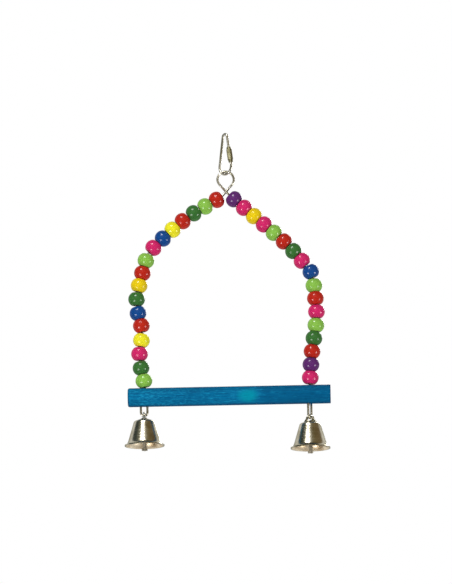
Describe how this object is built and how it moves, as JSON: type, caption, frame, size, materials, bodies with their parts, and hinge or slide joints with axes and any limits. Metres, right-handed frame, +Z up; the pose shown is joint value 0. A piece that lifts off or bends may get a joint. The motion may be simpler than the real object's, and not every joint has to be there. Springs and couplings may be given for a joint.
{
  "type": "bird swing",
  "caption": "Hanging cage swing: a bent wire arch strung with coloured beads over a dyed dowel perch, a bell under each end, hung from a screw link.",
  "frame": {"origin": "inside of the link's top bend, where a cage bar lies", "axes": "+Z up along the hang, +X along the perch towards the end with the longer bell eye, -Y to the front"},
  "size_m": [0.1309, 0.0252, 0.2083],
  "materials": {
    "link_steel": "bright zinc plating",
    "sleeve_brass": "yellowed zinc plating, dull",
    "wire_steel": "drawn, plated wire",
    "perch_wood": "blue water stain, open grain",
    "bell_nickel": "nickel plating with a warm cast",
    "clapper_zinc": "dull cast zinc",
    "staple_steel": "drawn wire",
    "bead_red": "red dye under gloss lacquer",
    "bead_lime": "lime dye under gloss lacquer",
    "bead_green": "green dye under gloss lacquer",
    "bead_lemon": "lemon dye under gloss lacquer",
    "bead_gold": "gold dye under gloss lacquer",
    "bead_blue": "blue dye under gloss lacquer",
    "bead_pink": "pink dye under gloss lacquer",
    "bead_purple": "purple dye under gloss lacquer"
  },
  "bodies": {
    "link": {"quick_link": "link_steel"},
    "sleeve": {"link_sleeve": "sleeve_brass"},
    "frame": {"frame_wire": "wire_steel", "perch": "perch_wood"},
    "bell_left": {"bell_left": "bell_nickel", "staple_left": "staple_steel"},
    "bell_right": {"bell_right": "bell_nickel", "staple_right": "staple_steel"},
    "clapper_left": {"clapper_left": "clapper_zinc"},
    "clapper_right": {"clapper_right": "clapper_zinc"},
    "bead_left_01": {"bead_left_01": "bead_red"},
    "bead_left_02": {"bead_left_02": "bead_lime"},
    "bead_left_03": {"bead_left_03": "bead_green"},
    "bead_left_04": {"bead_left_04": "bead_red"},
    "bead_left_05": {"bead_left_05": "bead_lemon"},
    "bead_left_06": {"bead_left_06": "bead_blue"},
    "bead_left_07": {"bead_left_07": "bead_pink"},
    "bead_left_08": {"bead_left_08": "bead_lime"},
    "bead_left_09": {"bead_left_09": "bead_red"},
    "bead_left_10": {"bead_left_10": "bead_gold"},
    "bead_left_11": {"bead_left_11": "bead_green"},
    "bead_left_12": {"bead_left_12": "bead_blue"},
    "bead_left_13": {"bead_left_13": "bead_red"},
    "bead_left_14": {"bead_left_14": "bead_lemon"},
    "bead_left_15": {"bead_left_15": "bead_pink"},
    "bead_left_16": {"bead_left_16": "bead_green"},
    "bead_left_17": {"bead_left_17": "bead_lime"},
    "bead_right_01": {"bead_right_01": "bead_purple"},
    "bead_right_02": {"bead_right_02": "bead_pink"},
    "bead_right_03": {"bead_right_03": "bead_gold"},
    "bead_right_04": {"bead_right_04": "bead_pink"},
    "bead_right_05": {"bead_right_05": "bead_lime"},
    "bead_right_06": {"bead_right_06": "bead_red"},
    "bead_right_07": {"bead_right_07": "bead_green"},
    "bead_right_08": {"bead_right_08": "bead_pink"},
    "bead_right_09": {"bead_right_09": "bead_blue"},
    "bead_right_10": {"bead_right_10": "bead_lime"},
    "bead_right_11": {"bead_right_11": "bead_red"},
    "bead_right_12": {"bead_right_12": "bead_pink"},
    "bead_right_13": {"bead_right_13": "bead_lime"},
    "bead_right_14": {"bead_right_14": "bead_green"},
    "bead_right_15": {"bead_right_15": "bead_red"},
    "bead_right_16": {"bead_right_16": "bead_purple"},
    "bead_right_17": {"bead_right_17": "bead_pink"}
  },
  "joints": [
    {"name": "sleeve_slide", "type": "slide", "parent": "link", "child": "sleeve", "axis": [-0.1209, 0.1209, 0.9853], "range_m": [0, 0.0062]},
    {"name": "frame_swing", "type": "hinge", "parent": "link", "child": "frame", "pos_m": [0, 0, -0.0238], "axis": [1, 0, 0], "range_deg": [-45, 45]},
    {"name": "bead_left_01_spin", "type": "hinge", "parent": "frame", "child": "bead_left_01", "pos_m": [-0.00593, 0.0009, -0.04194], "axis": [0.8472, 0, 0.5312], "continuous": true},
    {"name": "bead_left_02_spin", "type": "hinge", "parent": "frame", "child": "bead_left_02", "pos_m": [-0.01336, 0.0009, -0.04612], "axis": [0.8775, 0, 0.4797], "continuous": true},
    {"name": "bead_left_03_spin", "type": "hinge", "parent": "frame", "child": "bead_left_03", "pos_m": [-0.02077, 0.0009, -0.05046], "axis": [0.8423, 0, 0.5391], "continuous": true},
    {"name": "bead_left_04_spin", "type": "hinge", "parent": "frame", "child": "bead_left_04", "pos_m": [-0.02783, 0.0009, -0.05546], "axis": [0.7878, 0, 0.6159], "continuous": true},
    {"name": "bead_left_05_spin", "type": "hinge", "parent": "frame", "child": "bead_left_05", "pos_m": [-0.03438, 0.0009, -0.06093], "axis": [0.7523, 0, 0.6588], "continuous": true},
    {"name": "bead_left_06_spin", "type": "hinge", "parent": "frame", "child": "bead_left_06", "pos_m": [-0.04066, 0.0009, -0.06661], "axis": [0.7301, 0, 0.6834], "continuous": true},
    {"name": "bead_left_07_spin", "type": "hinge", "parent": "frame", "child": "bead_left_07", "pos_m": [-0.04675, 0.0009, -0.07256], "axis": [0.6942, 0, 0.7198], "continuous": true},
    {"name": "bead_left_08_spin", "type": "hinge", "parent": "frame", "child": "bead_left_08", "pos_m": [-0.05168, 0.0009, -0.08079], "axis": [0.2982, 0, 0.9545], "continuous": true},
    {"name": "bead_left_09_spin", "type": "hinge", "parent": "frame", "child": "bead_left_09", "pos_m": [-0.054, 0.0009, -0.08891], "axis": [0.2672, 0, 0.9636], "continuous": true},
    {"name": "bead_left_10_spin", "type": "hinge", "parent": "frame", "child": "bead_left_10", "pos_m": [-0.05623, 0.0009, -0.09697], "axis": [0.2654, 0, 0.9641], "continuous": true},
    {"name": "bead_left_11_spin", "type": "hinge", "parent": "frame", "child": "bead_left_11", "pos_m": [-0.05791, 0.0009, -0.10581], "axis": [0.0637, 0, 0.998], "continuous": true},
    {"name": "bead_left_12_spin", "type": "hinge", "parent": "frame", "child": "bead_left_12", "pos_m": [-0.05715, 0.0009, -0.11491], "axis": [-0.2084, 0, 0.978], "continuous": true},
    {"name": "bead_left_13_spin", "type": "hinge", "parent": "frame", "child": "bead_left_13", "pos_m": [-0.05514, 0.0009, -0.123], "axis": [-0.2103, 0, 0.9776], "continuous": true},
    {"name": "bead_left_14_spin", "type": "hinge", "parent": "frame", "child": "bead_left_14", "pos_m": [-0.05518, 0.0009, -0.13245], "axis": [0.1965, 0, 0.9805], "continuous": true},
    {"name": "bead_left_15_spin", "type": "hinge", "parent": "frame", "child": "bead_left_15", "pos_m": [-0.0565, 0.0009, -0.14124], "axis": [0.0406, 0, 0.9992], "continuous": true},
    {"name": "bead_left_16_spin", "type": "hinge", "parent": "frame", "child": "bead_left_16", "pos_m": [-0.05568, 0.0009, -0.15027], "axis": [-0.206, 0, 0.9786], "continuous": true},
    {"name": "bead_left_17_spin", "type": "hinge", "parent": "frame", "child": "bead_left_17", "pos_m": [-0.05397, 0.0009, -0.15859], "axis": [-0.1648, 0, 0.9863], "continuous": true},
    {"name": "bead_right_01_spin", "type": "hinge", "parent": "frame", "child": "bead_right_01", "pos_m": [0.00517, -0.0009, -0.04214], "axis": [-0.7266, 0, 0.687], "continuous": true},
    {"name": "bead_right_02_spin", "type": "hinge", "parent": "frame", "child": "bead_right_02", "pos_m": [0.01143, -0.0009, -0.04782], "axis": [-0.7489, 0, 0.6626], "continuous": true},
    {"name": "bead_right_03_spin", "type": "hinge", "parent": "frame", "child": "bead_right_03", "pos_m": [0.01769, -0.0009, -0.05335], "axis": [-0.749, 0, 0.6626], "continuous": true},
    {"name": "bead_right_04_spin", "type": "hinge", "parent": "frame", "child": "bead_right_04", "pos_m": [0.02394, -0.0009, -0.05889], "axis": [-0.7489, 0, 0.6626], "continuous": true},
    {"name": "bead_right_05_spin", "type": "hinge", "parent": "frame", "child": "bead_right_05", "pos_m": [0.0302, -0.0009, -0.06442], "axis": [-0.749, 0, 0.6626], "continuous": true},
    {"name": "bead_right_06_spin", "type": "hinge", "parent": "frame", "child": "bead_right_06", "pos_m": [0.03647, -0.0009, -0.07018], "axis": [-0.7159, 0, 0.6982], "continuous": true},
    {"name": "bead_right_07_spin", "type": "hinge", "parent": "frame", "child": "bead_right_07", "pos_m": [0.04238, -0.0009, -0.0765], "axis": [-0.6483, 0, 0.7614], "continuous": true},
    {"name": "bead_right_08_spin", "type": "hinge", "parent": "frame", "child": "bead_right_08", "pos_m": [0.0477, -0.0009, -0.08296], "axis": [-0.642, 0, 0.7667], "continuous": true},
    {"name": "bead_right_09_spin", "type": "hinge", "parent": "frame", "child": "bead_right_09", "pos_m": [0.05323, -0.0009, -0.09018], "axis": [-0.4389, 0, 0.8986], "continuous": true},
    {"name": "bead_right_10_spin", "type": "hinge", "parent": "frame", "child": "bead_right_10", "pos_m": [0.05505, -0.0009, -0.09914], "axis": [-0.0959, 0, 0.9954], "continuous": true},
    {"name": "bead_right_11_spin", "type": "hinge", "parent": "frame", "child": "bead_right_11", "pos_m": [0.05584, -0.0009, -0.10746], "axis": [-0.0933, 0, 0.9956], "continuous": true},
    {"name": "bead_right_12_spin", "type": "hinge", "parent": "frame", "child": "bead_right_12", "pos_m": [0.05633, -0.0009, -0.11609], "axis": [-0.0044, 0, 1], "continuous": true},
    {"name": "bead_right_13_spin", "type": "hinge", "parent": "frame", "child": "bead_right_13", "pos_m": [0.05581, -0.0009, -0.12483], "axis": [0.1232, 0, 0.9924], "continuous": true},
    {"name": "bead_right_14_spin", "type": "hinge", "parent": "frame", "child": "bead_right_14", "pos_m": [0.05439, -0.0009, -0.13327], "axis": [0.1871, 0, 0.9823], "continuous": true},
    {"name": "bead_right_15_spin", "type": "hinge", "parent": "frame", "child": "bead_right_15", "pos_m": [0.05302, -0.0009, -0.1417], "axis": [0.1305, 0, 0.9915], "continuous": true},
    {"name": "bead_right_16_spin", "type": "hinge", "parent": "frame", "child": "bead_right_16", "pos_m": [0.05216, -0.0009, -0.1502], "axis": [0.0724, 0, 0.9974], "continuous": true},
    {"name": "bead_right_17_spin", "type": "hinge", "parent": "frame", "child": "bead_right_17", "pos_m": [0.05157, -0.0009, -0.15856], "axis": [0.0809, 0, 0.9967], "continuous": true},
    {"name": "bell_left_swing", "type": "hinge", "parent": "frame", "child": "bell_left", "pos_m": [-0.05403, 0.0009, -0.18109], "axis": [1, 0, 0], "range_deg": [-60, 60]},
    {"name": "clapper_left_swing", "type": "hinge", "parent": "bell_left", "child": "clapper_left", "pos_m": [-0.05403, 0.0009, -0.18669], "axis": [1, 0, 0], "range_deg": [-32, 32]},
    {"name": "bell_right_swing", "type": "hinge", "parent": "frame", "child": "bell_right", "pos_m": [0.05088, 0.00088, -0.18439], "axis": [0.5, 0.866, 0], "range_deg": [-60, 60]},
    {"name": "clapper_right_swing", "type": "hinge", "parent": "bell_right", "child": "clapper_right", "pos_m": [0.05088, 0.00088, -0.18999], "axis": [0.5, 0.866, 0], "range_deg": [-32, 32]}
  ]
}
